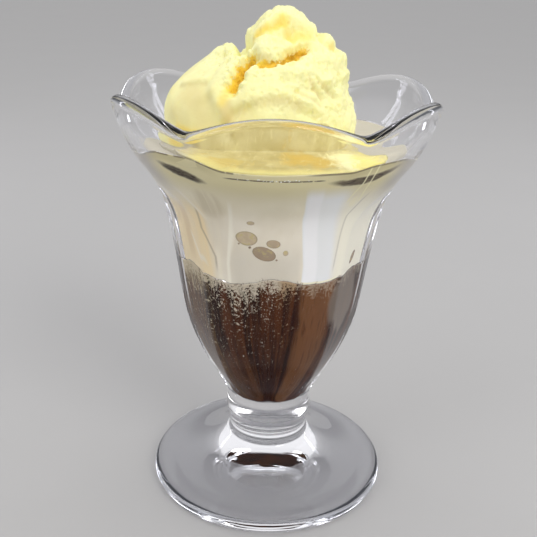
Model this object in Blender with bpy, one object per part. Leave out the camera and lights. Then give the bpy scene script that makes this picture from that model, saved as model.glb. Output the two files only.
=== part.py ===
"""Affogato in a footed sundae glass: coffee, milk and a scoop of vanilla ice cream.

The glass is one pressed piece: a round foot, a short stem with a collar, a bowl with six flat
panels between six round pillars, and a flared rim of six petals. The coffee, the milk and the ice
cream are solids that fill it, each a hair clear of its neighbours.
+Z is up, the origin is under the middle of the foot, and one petal faces -Y.
"""
import math

import bpy
import numpy as np

MM = 0.001
GAP = 0.3                      # clearance between neighbouring solids, in millimetres

# ---- the glass, in millimetres ----
PETALS = 6
FRONT_PETAL = -90.0            # direction of the first petal's middle, in degrees
STEP_ANGLES = (-25.0, -20.0, -15.0, -8.0, 0.0, 8.0, 15.0, 20.0, 25.0, 30.0)   # across one petal

FOOT_RADIUS = 38.4
FOOT_EDGE = 4.4                # thickness of the foot's rounded edge
REST_RING = (29.0, 34.5)       # flat ring that the foot stands on
FOOT_HOLLOW = 3.2              # how far the underside rises at its middle
FOOT_TOP_RADII = (32.0, 27.0, 22.0, 18.0, 15.0)
UNDERSIDE_RADII = (9.0, 20.0)
EDGE_TURNS = (-60.0, -20.0, 20.0, 60.0, 90.0)        # round the foot's edge, in degrees
STEM_FOOT = (13.2, 15.4)       # radius and height where the stem leaves the foot
FOOT_FLARE = 1.7               # power of the foot's sweep up to the stem
STEM_WAIST = (12.7, 18.4)
COLLAR_BOTTOM = (13.5, 22.6)
COLLAR_EDGE = (13.95, 24.6)
COLLAR_TOP = (13.6, 29.2)

PILLAR_OUTLINE = (             # height and outer radius over a pillar
    (29.2, 13.6), (31.5, 14.2), (34.0, 15.4), (37.5, 17.5), (42.0, 20.2), (48.0, 23.1),
    (54.0, 25.4), (60.0, 27.1), (68.0, 28.5), (78.0, 29.9), (88.0, 31.6), (96.0, 33.2),
    (100.0, 34.5), (104.0, 36.6), (108.0, 39.3), (112.0, 42.2), (116.0, 44.3), (120.0, 45.9),
    (124.0, 47.2), (129.0, 48.4))
INSIDE_OUTLINE = (             # height and inner radius over a pillar
    (30.6, 5.0), (34.0, 7.4), (38.0, 10.3), (43.0, 13.6), (48.0, 16.3), (54.0, 18.8),
    (60.0, 20.7), (68.0, 22.2), (78.0, 23.5), (88.0, 25.2), (96.0, 27.0), (100.0, 28.4),
    (104.0, 30.9), (108.0, 34.4), (112.0, 38.0), (116.0, 40.6), (120.0, 42.4), (124.0, 43.7),
    (129.0, 44.8))
PANEL_HALF_ANGLE = 20.0        # a flat panel reaches this far to each side of its petal's middle
PANEL_START = (31.0, 37.0)     # the panels open out over this height above the collar
PANEL_ARCH = (92.0, 104.5)     # and close in a round arch over this one
INSIDE_HEXAGON = (40.0, 62.0)  # below the first height the inside is a plain hexagon
INSIDE_ROUND = 101.0           # and from this height up it is round

SHOULDER = 104.0               # the petals begin here
RIM_VALLEY = 122.5             # height of the rim's middle line between two petals
RIM_TIP = 127.7                # and at a petal's tip
RIM_THICKNESS = 4.0
RIM_TURNS = (0.0, 45.0, 90.0, 135.0, 180.0)          # over the rounded rim, in degrees
VALLEY_ROUNDING = 0.14
VALLEY_CREASE = 0.9            # how far the cup is pinched in below each valley
CUP_SHARES_UP = (0.2, 0.4, 0.6, 0.8)                 # rings between shoulder and rim, outside
CUP_SHARES_DOWN = (0.7, 0.45, 0.2)                   # and inside
OUTSIDE_HEIGHTS = (31.5, 34.0, 37.5, 42.0, 48.0, 54.0, 60.0, 70.0, 80.0, 88.0, 93.0, 97.0, 100.5,
                   SHOULDER)

# ---- what fills the glass, in millimetres ----
COFFEE_LEVEL = 78.5
MILK_LEVEL = 113.4
INSIDE_HEIGHTS = (SHOULDER, 99.0, 94.0, 86.0, COFFEE_LEVEL, 68.0, 60.0, 54.0, 48.0, 42.0, 38.0,
                  34.0, 30.6)
MILK_COLLAR = 108.7            # one more ring of the milk, above the shoulder
DIMPLE_RADIUS = 23.0           # the ice cream sinks this wide
DIMPLE_DEPTH = 5.0             # and this deep into the milk
DIMPLE_RINGS = (7.0, 15.0)
DIMPLE_CENTRE = (-4.0, -1.0)

# ---- the ice cream, in millimetres ----
SCOOP_CENTRE = (-4.0, -1.0, 121.0)
SCOOP_RADII = (27.6, 25.0, 26.5)
MELT_REACH = 1.2               # the melted skirt's width round the scoop
MELT_FRONT = 276.0             # direction in which it runs out to the glass
MELT_SPREAD = (34.0, 69.0)     # to each side: all out at the first angle, drawn in by the second
MELT_EDGE = 115.0              # height of its outer edge
SWELLINGS = (                  # direction from the scoop's centre, width in degrees, height
    ((0.72, -0.10, 0.69), 18.0, 2.4),                # right side of the top
    ((0.20, -0.12, 1.00), 17.0, 5.4),                # torn lump on top
    ((0.54, -0.12, 0.84), 9.0, 1.9),                 # and its ragged right end
    ((-0.14, -0.10, 0.99), 9.0, -2.2),               # its steep left side
    ((-0.62, -0.15, 0.78), 30.0, -6.0),              # slope down to the left lobe
    ((-0.96, -0.15, 0.22), 22.0, 1.6),               # the left lobe's own bulge
    ((0.90, 0.00, 0.42), 17.0, -2.6))                # flatter right side
CREVICES = (                   # middle line seen from the scoop's centre, depth and width
    (((-8.8, -22.0, 9.5), (-7.4, -18.5, 14.5), (-5.4, -13.0, 18.5)), 5.0, 2.6),
    (((-5.4, -13.0, 18.5), (-5.6, 0.0, 17.0), (-7.5, 13.0, 16.0)), 9.0, 2.6),
    (((-5.4, -13.5, 18.2), (-1.5, -16.8, 17.4), (3.6, -18.0, 17.6), (8.4, -17.6, 19.2),
      (12.0, -14.0, 21.6)), 3.6, 2.2))
CRAGS = ((1.3, 8.0, 3), (0.9, 4.0, 5))               # height, size and seed of the rough relief
SMOOTH_SHARE = 0.30            # share of the relief left on the smooth lower part
CRAG_LEAN = 0.45               # the rough part leans to the right by this much
CRAG_START = (0.35, 0.75)      # slope above the centre over which the relief comes in
NOISE_CELLS = 16               # the noise repeats after this many cells
NOISE_SHIFT = 40.0
SCOOP_FOOT = -0.13             # slope down from the centre to where scoop and skirt meet
SKIRT_RISE = 0.35              # share of that rise already made two thirds of the way in
SCOOP_SIDES = 84
SCOOP_RINGS = 28

# ---- colour, roughness and clearness of each solid ----
FINISHES = {
    "glass": ((0.90, 0.92, 0.93), 0.03, 1.0),
    "coffee": ((0.07, 0.022, 0.008), 0.2, 0.0),
    "milk": ((0.72, 0.64, 0.50), 0.3, 0.0),
    "ice_cream": ((0.93, 0.80, 0.38), 0.5, 0.0)}
SHARP_ANGLE = 35.0             # edges steeper than this stay crisp, in degrees


def hermite_curve(points, at):
    """Radius at each height: a smooth curve through the points that never overshoots them."""
    heights, radii = np.array(points, dtype=float).T
    spans = np.diff(heights)
    slopes = np.diff(radii) / spans
    tangents = np.concatenate(([slopes[0]], np.zeros(len(slopes) - 1), [slopes[-1]]))
    before = slopes[:-1]
    after = slopes[1:]
    same_way = before * after > 0.0
    weight_a = 2.0 * spans[1:] + spans[:-1]
    weight_b = spans[1:] + 2.0 * spans[:-1]
    safe_before = np.where(same_way, before, 1.0)
    safe_after = np.where(same_way, after, 1.0)
    mean = (weight_a + weight_b) / (weight_a / safe_before + weight_b / safe_after)
    tangents[1:-1] = np.where(same_way, mean, 0.0)
    at = np.asarray(at, dtype=float)
    index = np.clip(np.searchsorted(heights, at) - 1, 0, len(spans) - 1)
    step = spans[index]
    t = (at - heights[index]) / step
    start = (1.0 + 2.0 * t) * (1.0 - t) ** 2 * radii[index]
    end = t * t * (3.0 - 2.0 * t) * radii[index + 1]
    lean = t * (1.0 - t) ** 2 * tangents[index] - t * t * (1.0 - t) * tangents[index + 1]
    return start + end + step * lean


def smooth_step(low, high, value):
    """0 below low, 1 above high, and an S curve between them."""
    t = np.clip((np.asarray(value, dtype=float) - low) / (high - low), 0.0, 1.0)
    return t * t * (3.0 - 2.0 * t)


def petal_angles():
    """All directions round the glass, and how far each is from the middle of its petal."""
    sector = 360.0 / PETALS
    angles = []
    offsets = []
    for petal in range(PETALS):
        for step in STEP_ANGLES:
            angles.append(math.radians(FRONT_PETAL + petal * sector + step))
            offsets.append(math.radians(step))
    return np.array(angles), np.array(offsets)


ANGLES, OFFSETS = petal_angles()


def ring(radius, height):
    """One ring of points round the axis; radius and height may each vary with direction."""
    radius = np.broadcast_to(radius, ANGLES.shape)
    height = np.broadcast_to(height, ANGLES.shape)
    return np.stack((radius * np.cos(ANGLES), radius * np.sin(ANGLES), height), axis=1)


def flattened(radius, half_angle):
    """A circle of this radius with a flat panel cut half_angle to each side of every petal."""
    flat = radius * np.cos(half_angle) / np.cos(OFFSETS)
    return np.minimum(radius, flat)


def outside_radius(height):
    """Outer radius of the bowl round the ring at one height, with its panels."""
    opening = smooth_step(PANEL_START[0], PANEL_START[1], height)
    low, high = PANEL_ARCH
    rise = np.clip((height - low) / (high - low), 0.0, 1.0)
    arch = math.sqrt(1.0 - rise ** 2)
    half_angle = math.radians(PANEL_HALF_ANGLE) * float(opening) * arch
    return flattened(float(hermite_curve(PILLAR_OUTLINE, height)), half_angle)


def petal_wave():
    """1 at each petal's tip and 0 in the valleys, where the curve is a little rounded."""
    plain = np.cos(OFFSETS * PETALS / 2.0)
    rounded = np.sqrt(plain ** 2 + VALLEY_ROUNDING ** 2) - VALLEY_ROUNDING
    return rounded / (math.sqrt(1.0 + VALLEY_ROUNDING ** 2) - VALLEY_ROUNDING)


def rim_height(wave):
    """Height of the rim's middle line."""
    return RIM_VALLEY + (RIM_TIP - RIM_VALLEY) * wave


def cup_crease(share, wave):
    """How far the cup is pinched in, share of the way from the shoulder to the rim."""
    return VALLEY_CREASE * (1.0 - wave) * np.sin(math.pi * share)


def cup_ring(outline, share, wave):
    """One ring of the petalled cup, share of the way from the shoulder to the rim's middle."""
    height = SHOULDER + (rim_height(wave) - SHOULDER) * share
    return hermite_curve(outline, height) - cup_crease(share, wave), height


def inside_radius(height, clearance=0.0):
    """Inner radius round one level: a hexagon low down, round higher up, petalled at the top."""
    radius = float(hermite_curve(INSIDE_OUTLINE, height)) - clearance
    if height > SHOULDER:
        wave = petal_wave()
        share = (height - SHOULDER) / (rim_height(wave) - SHOULDER)
        return radius - cup_crease(share, wave)
    low, high = INSIDE_HEXAGON
    corner = math.pi / PETALS
    panel = math.radians(PANEL_HALF_ANGLE)
    half_angle = corner + (panel - corner) * float(smooth_step(low, high, height))
    half_angle *= 1.0 - float(smooth_step(high, INSIDE_ROUND, height))
    return flattened(radius, half_angle)


def foot_rings():
    """Rings of the foot, from the middle of its underside out and up to the stem."""
    rings = []
    for radius in UNDERSIDE_RADII:
        rings.append(ring(radius, FOOT_HOLLOW * (1.0 - (radius / REST_RING[0]) ** 2)))
    for radius in REST_RING:
        rings.append(ring(radius, 0.0))
    edge = FOOT_EDGE / 2.0
    for degrees in EDGE_TURNS:
        turn = math.radians(degrees)
        rings.append(ring(FOOT_RADIUS - edge + edge * math.cos(turn), edge + edge * math.sin(turn)))
    inner, top = STEM_FOOT
    outer = FOOT_RADIUS - edge
    for radius in FOOT_TOP_RADII:
        rise = ((outer - radius) / (outer - inner)) ** FOOT_FLARE
        rings.append(ring(radius, FOOT_EDGE + (top - FOOT_EDGE) * rise))
    return rings


def rim_rings(wave):
    """Rings over the rounded rim, from the outer wall to the inner one."""
    radius, height = cup_ring(PILLAR_OUTLINE, 1.0, wave)
    half = RIM_THICKNESS / 2.0
    rings = []
    for degrees in RIM_TURNS:
        turn = math.radians(degrees)
        rings.append(ring(radius - half + half * math.cos(turn), height + half * math.sin(turn)))
    return rings


def glass_rings():
    """Every ring of the glass, from under its foot over the rim to the bottom of its inside."""
    rings = foot_rings()
    for radius, height in (STEM_FOOT, STEM_WAIST, COLLAR_BOTTOM, COLLAR_EDGE, COLLAR_TOP):
        rings.append(ring(radius, height))
    for height in OUTSIDE_HEIGHTS:
        rings.append(ring(outside_radius(height), height))
    wave = petal_wave()
    for share in CUP_SHARES_UP:
        rings.append(ring(*cup_ring(PILLAR_OUTLINE, share, wave)))
    rings.extend(rim_rings(wave))
    for share in CUP_SHARES_DOWN:
        rings.append(ring(*cup_ring(INSIDE_OUTLINE, share, wave)))
    for height in INSIDE_HEIGHTS:
        rings.append(ring(inside_radius(height), height))
    return rings


def filling_rings(low, high):
    """Rings of a filling that stands clear of the glass between two levels."""
    heights = [low]
    for height in sorted((*INSIDE_HEIGHTS, MILK_COLLAR)):
        if low + 2.0 * GAP < height < high - 2.0 * GAP:
            heights.append(height)
    heights.append(high)
    return [ring(inside_radius(height, GAP), height) for height in heights]


def dimple_height(radius, lift=0.0):
    """Height of the shallow bowl that the ice cream sinks into, against distance from its middle."""
    share = np.clip(radius / DIMPLE_RADIUS, 0.0, 1.0)
    return MILK_LEVEL + lift - DIMPLE_DEPTH * (1.0 - share ** 2) ** 2


def dimple_ring(radius):
    """A ring of the dimple, round the dimple's own middle."""
    points = ring(radius, dimple_height(radius))
    points[:, 0] += DIMPLE_CENTRE[0]
    points[:, 1] += DIMPLE_CENTRE[1]
    return points


def milk_rings():
    """Rings of the milk: up the inside of the glass, then in over its top to the dimple."""
    rings = filling_rings(COFFEE_LEVEL + GAP / 2.0, MILK_LEVEL)
    for radius in (DIMPLE_RADIUS, *reversed(DIMPLE_RINGS)):
        rings.append(dimple_ring(radius))
    return rings


def lattice_noise(points, scale, seed):
    """Smooth noise between -1 and 1 in space, from a seeded block of random corner values."""
    size = NOISE_CELLS
    corners = np.random.default_rng(seed).uniform(-1.0, 1.0, (size, size, size))
    place = points / scale
    cell = np.floor(place).astype(int)
    part = place - cell
    part = part * part * (3.0 - 2.0 * part)
    total = np.zeros(len(points))
    for dx in (0, 1):
        for dy in (0, 1):
            for dz in (0, 1):
                value = corners[(cell[:, 0] + dx) % size, (cell[:, 1] + dy) % size,
                                (cell[:, 2] + dz) % size]
                weight_x = part[:, 0] if dx else 1.0 - part[:, 0]
                weight_y = part[:, 1] if dy else 1.0 - part[:, 1]
                weight_z = part[:, 2] if dz else 1.0 - part[:, 2]
                total += value * weight_x * weight_y * weight_z
    return total


def path_distance(directions, path):
    """Angle in radians between each direction and the nearest point of a path of directions."""
    nearest = np.full(len(directions), math.pi)
    corners = np.array(path, dtype=float)
    corners /= np.linalg.norm(corners, axis=1)[:, None]
    for start, end in zip(corners[:-1], corners[1:]):
        line = end - start
        share = np.clip((directions - start) @ line / (line @ line), 0.0, 1.0)
        point = start + share[:, None] * line
        point /= np.linalg.norm(point, axis=1)[:, None]
        angle = np.arccos(np.clip(np.sum(directions * point, axis=1), -1.0, 1.0))
        nearest = np.minimum(nearest, angle)
    return nearest


def bump(directions, centre, width):
    """A round swelling about one direction: 1 in its middle and fading over its width."""
    middle = np.array(centre, dtype=float)
    middle /= np.linalg.norm(middle)
    angle = np.arccos(np.clip(directions @ middle, -1.0, 1.0))
    return np.exp(-(angle / math.radians(width)) ** 2)


def scoop_radius(directions):
    """How far the ice cream reaches from its centre in each direction."""
    axes = np.array(SCOOP_RADII)
    reach = 1.0 / np.linalg.norm(directions / axes, axis=1)
    for centre, width, height in SWELLINGS:
        reach = reach + height * bump(directions, centre, width)
    size = (SCOOP_RADII[0] + SCOOP_RADII[1]) / 2.0
    for path, depth, width in CREVICES:
        gap = size * path_distance(directions, path)
        reach = reach - depth * np.exp(-(gap / width) ** 2)
    slope = directions[:, 2] + CRAG_LEAN * directions[:, 0]
    craggy = SMOOTH_SHARE + (1.0 - SMOOTH_SHARE) * smooth_step(*CRAG_START, slope)
    places = directions * size + NOISE_SHIFT
    relief = np.zeros(len(directions))
    for height, scale, seed in CRAGS:
        relief = relief + height * lattice_noise(places, scale, seed)
    return reach + craggy * relief


def melt_radius(angle, scoop_foot):
    """Outer reach of the melted skirt: out to the glass in front, close to the scoop elsewhere."""
    turn = np.degrees(angle) - MELT_FRONT
    turn = np.abs((turn + 180.0) % 360.0 - 180.0)
    front = 1.0 - smooth_step(*MELT_SPREAD, turn)
    wall = float(hermite_curve(INSIDE_OUTLINE, MILK_LEVEL)) - GAP - VALLEY_CREASE
    near = np.minimum(scoop_foot + MELT_REACH, wall)
    return near + (wall - near) * front


def ice_cream_rings():
    """Rings of the ice cream: sunk underside, melted skirt, then up the scoop to its top."""
    around = SCOOP_SIDES
    angles = np.radians(np.arange(around) * 360.0 / around)
    level = np.stack((np.cos(angles), np.sin(angles)), axis=1)
    centre = np.array(SCOOP_CENTRE)
    low = np.column_stack((level, np.full(around, SCOOP_FOOT)))
    low /= np.linalg.norm(low, axis=1)[:, None]
    foot = centre + low * scoop_radius(low)[:, None]
    foot_reach = np.hypot(foot[:, 0], foot[:, 1])
    foot_angle = np.arctan2(foot[:, 1], foot[:, 0])
    reach = melt_radius(foot_angle, foot_reach)
    outward = np.stack((np.cos(foot_angle), np.sin(foot_angle)), axis=1)
    rings = []
    dimple_middle = np.array(DIMPLE_CENTRE)
    for radius in (*DIMPLE_RINGS, DIMPLE_RADIUS - GAP):
        flat = dimple_middle + level * radius
        height = np.full(around, dimple_height(radius, GAP))
        rings.append(np.column_stack((flat, height)))
    rings.append(np.column_stack((outward * reach[:, None], np.full(around, MILK_LEVEL + GAP))))
    rings.append(np.column_stack((outward * reach[:, None], np.full(around, MELT_EDGE))))
    middle = (reach + 2.0 * foot_reach) / 3.0
    rise = MELT_EDGE + SKIRT_RISE * (foot[:, 2] - MELT_EDGE)
    rings.append(np.column_stack((outward * middle[:, None], rise)))
    rings.append(foot)
    polar = 0.5 * math.pi * (1.0 - np.arange(SCOOP_RINGS) / SCOOP_RINGS)
    for tilt in polar:
        upward = np.column_stack((level * math.sin(tilt), np.full(around, math.cos(tilt))))
        rings.append(centre + upward * scoop_radius(upward)[:, None])
    return rings


def closed_mesh(name, rings):
    """A closed mesh in metres from stacked rings: walls between them and a fan on each end."""
    points = np.concatenate(rings)
    count = len(rings[0])
    first = len(points)
    bottom = rings[0].mean(axis=0)
    top = rings[-1].mean(axis=0)
    points = np.concatenate((points, [bottom, top])) * MM
    faces = []
    for row in range(len(rings) - 1):
        for column in range(count):
            following = (column + 1) % count
            here = row * count
            above = here + count
            faces.append((here + column, here + following, above + following, above + column))
    for column in range(count):
        following = (column + 1) % count
        last = (len(rings) - 1) * count
        faces.append((following, column, first))
        faces.append((last + column, last + following, first + 1))
    mesh = bpy.data.meshes.new(name)
    mesh.from_pydata([tuple(point) for point in points], [], faces)
    mesh.update()
    return mesh


def add_solid(name, rings):
    """One named object with its own material."""
    colour, roughness, clearness = FINISHES[name]
    mesh = closed_mesh(name, rings)
    material = bpy.data.materials.new(name)
    material.use_nodes = True
    shader = material.node_tree.nodes["Principled BSDF"]
    shader.inputs["Base Color"].default_value = (*colour, 1.0)
    shader.inputs["Roughness"].default_value = roughness
    shader.inputs["Metallic"].default_value = 0.0
    shader.inputs["Transmission Weight"].default_value = clearness
    material.diffuse_color = (*colour, 1.0)
    mesh.materials.append(material)
    mesh.shade_smooth()
    mesh.set_sharp_from_angle(angle=math.radians(SHARP_ANGLE))
    solid = bpy.data.objects.new(name, mesh)
    bpy.context.scene.collection.objects.link(solid)
    return solid


def build_affogato():
    """Clear the scene and add the glass and everything in it."""
    for old in list(bpy.data.objects):
        bpy.data.objects.remove(old, do_unlink=True)
    coffee_floor = min(INSIDE_HEIGHTS) + GAP
    add_solid("glass", glass_rings())
    add_solid("coffee", filling_rings(coffee_floor, COFFEE_LEVEL - GAP / 2.0))
    add_solid("milk", milk_rings())
    add_solid("ice_cream", ice_cream_rings())


build_affogato()
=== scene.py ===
# Affogato in a footed sundae glass: the fine model and its finishes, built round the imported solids.
# Lengths are millimetres and angles are degrees, unless a note says otherwise.
import math

import bpy
import numpy as np
from mathutils import Matrix, Vector


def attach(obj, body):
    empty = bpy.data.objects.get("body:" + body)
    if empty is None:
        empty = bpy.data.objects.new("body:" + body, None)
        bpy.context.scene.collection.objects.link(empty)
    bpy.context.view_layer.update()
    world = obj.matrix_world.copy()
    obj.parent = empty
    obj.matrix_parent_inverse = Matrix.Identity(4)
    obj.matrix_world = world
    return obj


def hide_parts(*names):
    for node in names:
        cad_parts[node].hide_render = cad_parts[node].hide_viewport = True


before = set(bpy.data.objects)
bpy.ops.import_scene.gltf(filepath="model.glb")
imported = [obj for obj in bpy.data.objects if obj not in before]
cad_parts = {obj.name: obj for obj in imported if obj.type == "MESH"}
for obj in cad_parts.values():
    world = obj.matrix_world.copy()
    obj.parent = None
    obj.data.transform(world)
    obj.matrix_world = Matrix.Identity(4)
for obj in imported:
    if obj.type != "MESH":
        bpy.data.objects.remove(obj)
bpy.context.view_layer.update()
mm = 0.001


def hermiteCurve(points, at):
    # a smooth curve through (place, value) pairs that never overshoots them: cubic pieces whose
    # slope at a point is the weighted harmonic mean of its neighbours' slopes
    places, values = np.array(points, dtype=float).T
    spans = np.diff(places)
    slopes = np.diff(values) / spans
    before, after = slopes[:-1], slopes[1:]
    sameWay = before * after > 0
    a, b = 2 * spans[1:] + spans[:-1], spans[1:] + 2 * spans[:-1]
    mean = (a + b) / (a / np.where(sameWay, before, 1) + b / np.where(sameWay, after, 1))
    tangents = np.concatenate((slopes[:1], np.where(sameWay, mean, 0), slopes[-1:]))
    index = np.clip(np.searchsorted(places, at) - 1, 0, len(spans) - 1)
    t = (at - places[index]) / spans[index]
    start = (1 + 2 * t) * (1 - t) ** 2 * values[index]
    end = t * t * (3 - 2 * t) * values[index + 1]
    lean = t * (1 - t) ** 2 * tangents[index] - t * t * (1 - t) * tangents[index + 1]
    return start + end + spans[index] * lean


def smoothStep(low, high, value):
    # 0 at low, 1 at high, and 3t^2 - 2t^3 between them
    t = np.clip((np.asarray(value, dtype=float) - low) / (high - low), 0, 1)
    return t * t * (3 - 2 * t)


def softMin(a, b, blend):
    # the smaller of two numbers, with the corner where they meet rounded by blend
    return 0.5 * (a + b - np.sqrt((a - b) ** 2 + blend ** 2))


latticeCells = 16  # the noise repeats after this many cells


def latticeNoise(points, scale, seed):
    # smooth noise from -1 to 1: seeded random values on a cubic lattice, mixed with an S curve
    corners = np.random.default_rng(seed).uniform(-1, 1, (latticeCells,) * 3)
    place = points / scale
    cell = np.floor(place).astype(int)
    part = place - cell
    part = part * part * (3 - 2 * part)
    total = np.zeros(points.shape[:-1])
    for corner in np.ndindex(2, 2, 2):
        index = tuple(np.moveaxis((cell + corner) % latticeCells, -1, 0))
        total += corners[index] * np.prod(np.where(corner, part, 1 - part), axis=-1)
    return total


def layeredNoise(points, layers):
    # lattice noise of several (height, size, seed) added up
    return sum(height * latticeNoise(points, size, seed) for height, size, seed in layers)


def cellNoise(points, scale, seed):
    # distance to the nearest of one seeded random point in each lattice cell, in cell widths
    seeds = np.random.default_rng(seed).uniform(0, 1, (*(latticeCells,) * 3, 3))
    place = points / scale
    cell = np.floor(place).astype(int)
    nearest = np.full(points.shape[:-1], np.inf)
    for shift in np.ndindex(3, 3, 3):
        other = cell + shift - 1
        spot = other + seeds[tuple(np.moveaxis(other % latticeCells, -1, 0))]
        nearest = np.minimum(nearest, np.linalg.norm(place - spot, axis=-1))
    return nearest


def wrapped(degrees):
    # the same direction between -180 and 180 degrees
    return (degrees + 180) % 360 - 180


def rowsOf(*stretches):
    # a column of numbers, evenly spaced in each stretch of (from, to, count)
    return np.concatenate([np.linspace(*stretch) for stretch in stretches])[:, None]


def turned(angle, radius, height):
    # points round the axis from radius and height per row and angle
    shape = np.broadcast_shapes(np.shape(radius), np.shape(height), angle.shape)
    radius, height = np.broadcast_to(radius, shape), np.broadcast_to(height, shape)
    return np.stack((radius * np.cos(angle), radius * np.sin(angle), height), axis=-1)


def ringFaces(rings, closeEnds):
    # a tube of rings, rings[row, place, xyz]: quads between the rings and, when closed, a fan of
    # triangles on each end
    rows, count = rings.shape[:2]
    points = rings.reshape(-1, 3)
    row = np.arange(rows - 1)[:, None] * count
    here = np.arange(count)[None, :]
    following = (here + 1) % count
    loops = np.stack((row + here, row + following, row + count + following, row + count + here),
                     axis=-1).reshape(-1)
    starts = np.arange(0, len(loops), 4)
    if closeEnds:
        here, following = here[0], following[0]
        last, tip = len(points) - count, np.full(count, len(points))
        fans = np.concatenate((
            np.stack((following, here, tip), axis=-1),
            np.stack((last + here, last + following, tip + 1), axis=-1))).reshape(-1)
        points = np.concatenate((points, [rings[0].mean(axis=0), rings[-1].mean(axis=0)]))
        starts = np.append(starts, len(loops) + np.arange(0, len(fans), 3))
        loops = np.append(loops, fans)
    return points, loops, starts


def ringMesh(name, tubes, closeEnds=True, fields=None):
    # one mesh of tubes in millimetres; fields are numbers per ring point, one array per tube
    points, loops, starts = np.empty((0, 3)), np.empty(0, int), np.empty(0, int)
    for rings in tubes:
        newPoints, newLoops, newStarts = ringFaces(rings, closeEnds)
        starts = np.append(starts, newStarts + len(loops))
        loops = np.append(loops, newLoops + len(points))
        points = np.append(points, newPoints, axis=0)
    mesh = bpy.data.meshes.new(name)
    mesh.vertices.add(len(points))
    mesh.vertices.foreach_set("co", (points * mm).astype(np.float32).reshape(-1))
    mesh.loops.add(len(loops))
    mesh.loops.foreach_set("vertex_index", loops.astype(np.int32))
    mesh.polygons.add(len(starts))
    mesh.polygons.foreach_set("loop_start", starts.astype(np.int32))
    mesh.update(calc_edges=True)
    mesh.validate()
    for label, arrays in (fields or {}).items():
        values = [np.append(array, (array.flat[0], array.flat[-1])) for array in arrays]
        layer = mesh.attributes.new(label, "FLOAT", "POINT")
        layer.data.foreach_set("value", np.concatenate(values).astype(np.float32))
    mesh.shade_smooth()
    return mesh


def addObject(name, data):
    made = bpy.data.objects.new(name, data)
    bpy.context.scene.collection.objects.link(made)
    return made


def addPiece(name, tubes, material, slot, *nodes, fields=None):
    # one object at the origin that rides on the one body and may stand for CAD nodes
    mesh = ringMesh(name, tubes, fields=fields)
    mesh.materials.append(material)
    piece = addObject(name, mesh)
    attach(piece, "root")
    if nodes:
        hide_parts(*nodes)
    print("made", name, len(mesh.polygons), "faces")
    return mesh


class Wire:
    # a socket that does maths: + - * / ** between wires and numbers add Math nodes
    def __init__(self, owner, socket):
        self.owner, self.socket = owner, socket

    def maths(self, operation, other, swapped=False):
        a, b = (other, self) if swapped else (self, other)
        return self.owner.node("Math", {0: a, 1: b}, operation=operation)

    def __add__(self, other):
        return self.maths("ADD", other)

    def __mul__(self, other):
        return self.maths("MULTIPLY", other)

    def __sub__(self, other):
        return self.maths("SUBTRACT", other)

    def __rsub__(self, other):
        return self.maths("SUBTRACT", other, True)

    def __truediv__(self, other):
        return self.maths("DIVIDE", other)

    def __pow__(self, other):
        return self.maths("POWER", other)

    __radd__, __rmul__ = __add__, __mul__

    def step(self, low, high):
        # 0 below low and 1 above high, or the other way round when low is the larger
        ends = (0, 1) if low < high else (1, 0)
        return self.owner.node("MapRange", {
            "Value": self, "From Min": min(low, high), "From Max": max(low, high),
            "To Min": ends[0], "To Max": ends[1]}, interpolation_type="SMOOTHSTEP")

    def band(self, low, high, soft):
        # 1 between low and high and 0 outside them, with soft edges
        return self.step(low - soft, low + soft) * self.step(high + soft, high - soft)


def patch(across, up, middle, half, soft):
    # 1 inside an ellipse of two coordinates and 0 outside it, with a soft edge
    sideways = (across - middle[0]) / half[0]
    upward = (up - middle[1]) / half[1]
    return (sideways * sideways + upward * upward).step(1 + soft, 1 - soft)


class Nodes:
    # the nodes of a material or of the world
    def __init__(self, tree):
        self.tree = tree

    def plug(self, socket, value):
        if isinstance(value, Wire):
            self.tree.links.new(value.socket, socket)
        else:
            socket.default_value = value

    def node(self, kind, inputs=(), output=0, stops=(), **settings):
        # settings and a ramp's stops are set first, then the sockets get their values or links
        made = self.tree.nodes.new("ShaderNode" + kind)
        for label, value in settings.items():
            setattr(made, label, value)
        if stops:
            ramp = made.color_ramp
            ramp.interpolation = "EASE"
            while len(ramp.elements) < len(stops):
                ramp.elements.new(1)
            for element, (place, colour) in zip(ramp.elements, stops):
                element.position, element.color = place, (*colour, 1)
        for label, value in dict(inputs).items():
            self.plug(made.inputs[label], value)
        return Wire(self, made.outputs[output])


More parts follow.
